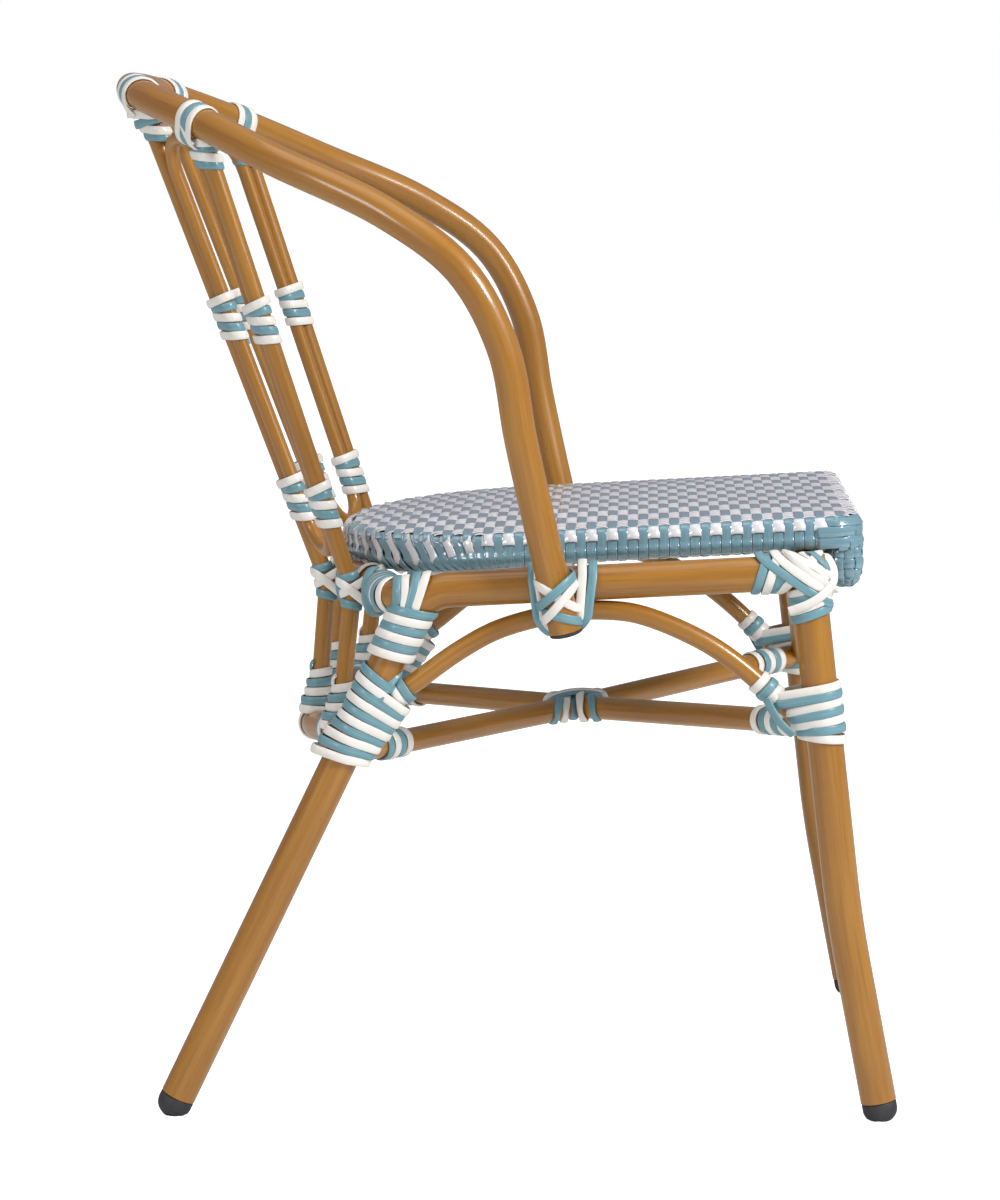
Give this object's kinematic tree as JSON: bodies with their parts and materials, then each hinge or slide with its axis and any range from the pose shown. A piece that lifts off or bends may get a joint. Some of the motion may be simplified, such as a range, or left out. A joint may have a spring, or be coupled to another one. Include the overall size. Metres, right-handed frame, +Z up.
{
  "type": "bistro armchair",
  "caption": "Bistro armchair of bent cane-look tubes with a flat woven seat, a curved open back running into arms, arched braces, crossed rods and wound strip lashings.",
  "frame": {"origin": "on the floor under the middle of the chair's outline in plan", "axes": "+X is the way the chair faces, +Y is towards the sitter's left, +Z is up"},
  "size_m": [0.6294, 0.606, 0.8127],
  "materials": {
    "tube": "semi-gloss cane look, light brown with fine darker grain",
    "strip": "satin flat strip, slate blue and off-white turns",
    "seat_weave": "satin woven strip, slate blue and off-white",
    "cap": "matt charcoal",
    "seat_frame": "bare tube, hidden by the weave"
  },
  "bodies": {
    "root": {"rear_leg_and_side_rail_right": "tube", "front_leg_right": "tube", "rear_leg_and_side_rail_left": "tube", "front_leg_left": "tube", "front_seat_rail": "tube", "foot_cap_rear_right": "cap", "foot_cap_front_right": "cap", "foot_cap_rear_left": "cap", "foot_cap_front_left": "cap", "back_rail_and_arms": "tube", "arm_end_plug_right": "cap", "arm_end_plug_left": "cap", "seat_hoop": "tube", "low_hoop": "tube", "spindle_outer_right": "tube", "spindle_inner_right": "tube", "spindle_inner_left": "tube", "spindle_outer_left": "tube", "back_loop_right": "tube", "back_loop_middle": "tube", "back_loop_left": "tube", "side_arch_right": "tube", "side_arch_left": "tube", "front_arch": "tube", "cross_rod_through": "tube", "cross_rod_half_rear": "tube", "cross_rod_half_front": "tube", "seat_frame": "seat_frame", "woven_seat": "seat_weave", "band_mid_outer_right": "strip", "band_mid_inner_right": "strip", "band_mid_inner_left": "strip", "band_mid_outer_left": "strip", "band_low_outer_right": "strip", "band_low_inner_right": "strip", "band_low_inner_left": "strip", "band_low_outer_left": "strip", "rail_lashing_outer_right": "strip", "rail_lashing_inner_right": "strip", "rail_lashing_inner_left": "strip", "rail_lashing_outer_left": "strip", "seat_hoop_lashing_outer_right": "strip", "low_hoop_lashing_outer_right": "strip", "seat_hoop_lashing_inner_right": "strip", "low_hoop_lashing_inner_right": "strip", "seat_hoop_lashing_inner_left": "strip", "low_hoop_lashing_inner_left": "strip", "seat_hoop_lashing_outer_left": "strip", "low_hoop_lashing_outer_left": "strip", "rear_corner_lashing_right": "strip", "rear_leg_lashing_right": "strip", "front_corner_lashing_right": "strip", "front_leg_lashing_right": "strip", "rear_corner_lashing_left": "strip", "rear_leg_lashing_left": "strip", "front_corner_lashing_left": "strip", "front_leg_lashing_left": "strip", "arm_foot_lashing_right": "strip", "arm_foot_lashing_left": "strip", "crossing_lashing": "strip"}
  },
  "joints": []
}
